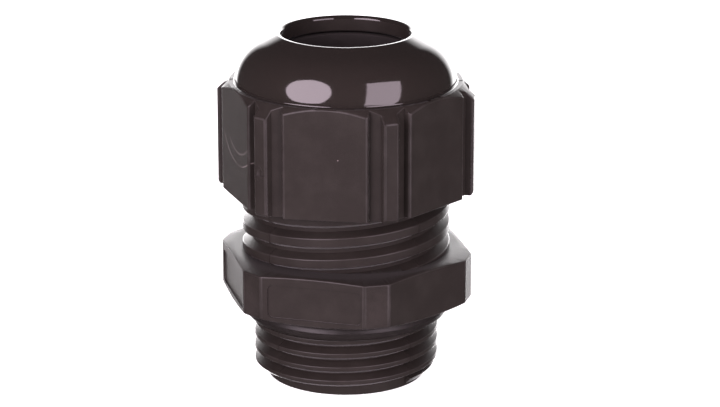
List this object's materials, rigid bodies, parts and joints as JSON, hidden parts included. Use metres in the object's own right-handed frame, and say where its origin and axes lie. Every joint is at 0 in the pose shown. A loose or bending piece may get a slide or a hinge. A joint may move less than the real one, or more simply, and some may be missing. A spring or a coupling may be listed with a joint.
{
  "type": "cable gland",
  "caption": "Black plastic cable gland: threaded body with a key hexagon, sealing ring, clamping fingers round a soft sealing insert, and a domed cap nut that closes them on a cable.",
  "frame": {"origin": "centre of the connection thread's end face", "axes": "+Z along the cable's axis towards the domed cap nut, -Y towards the front"},
  "size_m": [0.0274, 0.027, 0.0377],
  "materials": {
    "moulded_plastic": "satin moulded polyamide",
    "nut_plastic": "satin hexagon, polished dome",
    "ring_rubber": "smooth, slightly glossy",
    "insert_rubber": "dull elastomer"
  },
  "bodies": {
    "gland_body": {"gland_body": "moulded_plastic", "sealing_ring": "ring_rubber"},
    "sealing_insert": {"sealing_insert": "insert_rubber"},
    "cap_nut": {"cap_nut": "nut_plastic"},
    "clamping_finger_01": {"clamping_finger_01": "moulded_plastic"},
    "clamping_finger_02": {"clamping_finger_02": "moulded_plastic"},
    "clamping_finger_03": {"clamping_finger_03": "moulded_plastic"},
    "clamping_finger_04": {"clamping_finger_04": "moulded_plastic"},
    "clamping_finger_05": {"clamping_finger_05": "moulded_plastic"},
    "clamping_finger_06": {"clamping_finger_06": "moulded_plastic"},
    "clamping_finger_07": {"clamping_finger_07": "moulded_plastic"},
    "clamping_finger_08": {"clamping_finger_08": "moulded_plastic"},
    "clamping_finger_09": {"clamping_finger_09": "moulded_plastic"},
    "clamping_finger_10": {"clamping_finger_10": "moulded_plastic"},
    "clamping_finger_11": {"clamping_finger_11": "moulded_plastic"},
    "clamping_finger_12": {"clamping_finger_12": "moulded_plastic"}
  },
  "joints": [
    {"name": "insert_travel", "type": "slide", "parent": "gland_body", "child": "sealing_insert", "axis": [0, 0, -1], "range_m": [-0.00115, 0.00537]},
    {"name": "nut_turn", "type": "hinge", "parent": "sealing_insert", "child": "cap_nut", "pos_m": [0, 0, 0.026], "axis": [0, 0, -1], "range_deg": [-90.5, 420.5]},
    {"name": "finger_01_flex", "type": "hinge", "parent": "gland_body", "child": "clamping_finger_01", "pos_m": [0, -0.00925, 0.0237], "axis": [-1, 0, 0], "range_deg": [-1.6, 7.2]},
    {"name": "finger_02_flex", "type": "hinge", "parent": "gland_body", "child": "clamping_finger_02", "pos_m": [0.00462, -0.00801, 0.0237], "axis": [-0.866, -0.5, 0], "range_deg": [-1.6, 7.2]},
    {"name": "finger_03_flex", "type": "hinge", "parent": "gland_body", "child": "clamping_finger_03", "pos_m": [0.00801, -0.00462, 0.0237], "axis": [-0.5, -0.866, 0], "range_deg": [-1.6, 7.2]},
    {"name": "finger_04_flex", "type": "hinge", "parent": "gland_body", "child": "clamping_finger_04", "pos_m": [0.00925, 0, 0.0237], "axis": [0, -1, 0], "range_deg": [-1.6, 7.2]},
    {"name": "finger_05_flex", "type": "hinge", "parent": "gland_body", "child": "clamping_finger_05", "pos_m": [0.00801, 0.00462, 0.0237], "axis": [0.5, -0.866, 0], "range_deg": [-1.6, 7.2]},
    {"name": "finger_06_flex", "type": "hinge", "parent": "gland_body", "child": "clamping_finger_06", "pos_m": [0.00462, 0.00801, 0.0237], "axis": [0.866, -0.5, 0], "range_deg": [-1.6, 7.2]},
    {"name": "finger_07_flex", "type": "hinge", "parent": "gland_body", "child": "clamping_finger_07", "pos_m": [0, 0.00925, 0.0237], "axis": [1, 0, 0], "range_deg": [-1.6, 7.2]},
    {"name": "finger_08_flex", "type": "hinge", "parent": "gland_body", "child": "clamping_finger_08", "pos_m": [-0.00462, 0.00801, 0.0237], "axis": [0.866, 0.5, 0], "range_deg": [-1.6, 7.2]},
    {"name": "finger_09_flex", "type": "hinge", "parent": "gland_body", "child": "clamping_finger_09", "pos_m": [-0.00801, 0.00462, 0.0237], "axis": [0.5, 0.866, 0], "range_deg": [-1.6, 7.2]},
    {"name": "finger_10_flex", "type": "hinge", "parent": "gland_body", "child": "clamping_finger_10", "pos_m": [-0.00925, 0, 0.0237], "axis": [0, 1, 0], "range_deg": [-1.6, 7.2]},
    {"name": "finger_11_flex", "type": "hinge", "parent": "gland_body", "child": "clamping_finger_11", "pos_m": [-0.00801, -0.00462, 0.0237], "axis": [-0.5, 0.866, 0], "range_deg": [-1.6, 7.2]},
    {"name": "finger_12_flex", "type": "hinge", "parent": "gland_body", "child": "clamping_finger_12", "pos_m": [-0.00462, -0.00801, 0.0237], "axis": [-0.866, 0.5, 0], "range_deg": [-1.6, 7.2]}
  ],
  "couplings": [
    {"joint": "nut_turn", "follows": "insert_travel", "rad_per_m": 1365.9},
    {"joint": "finger_01_flex", "follows": "insert_travel", "rad_per_m": 23.09},
    {"joint": "finger_02_flex", "follows": "insert_travel", "rad_per_m": 23.09},
    {"joint": "finger_03_flex", "follows": "insert_travel", "rad_per_m": 23.09},
    {"joint": "finger_04_flex", "follows": "insert_travel", "rad_per_m": 23.09},
    {"joint": "finger_05_flex", "follows": "insert_travel", "rad_per_m": 23.09},
    {"joint": "finger_06_flex", "follows": "insert_travel", "rad_per_m": 23.09},
    {"joint": "finger_07_flex", "follows": "insert_travel", "rad_per_m": 23.09},
    {"joint": "finger_08_flex", "follows": "insert_travel", "rad_per_m": 23.09},
    {"joint": "finger_09_flex", "follows": "insert_travel", "rad_per_m": 23.09},
    {"joint": "finger_10_flex", "follows": "insert_travel", "rad_per_m": 23.09},
    {"joint": "finger_11_flex", "follows": "insert_travel", "rad_per_m": 23.09},
    {"joint": "finger_12_flex", "follows": "insert_travel", "rad_per_m": 23.09}
  ]
}
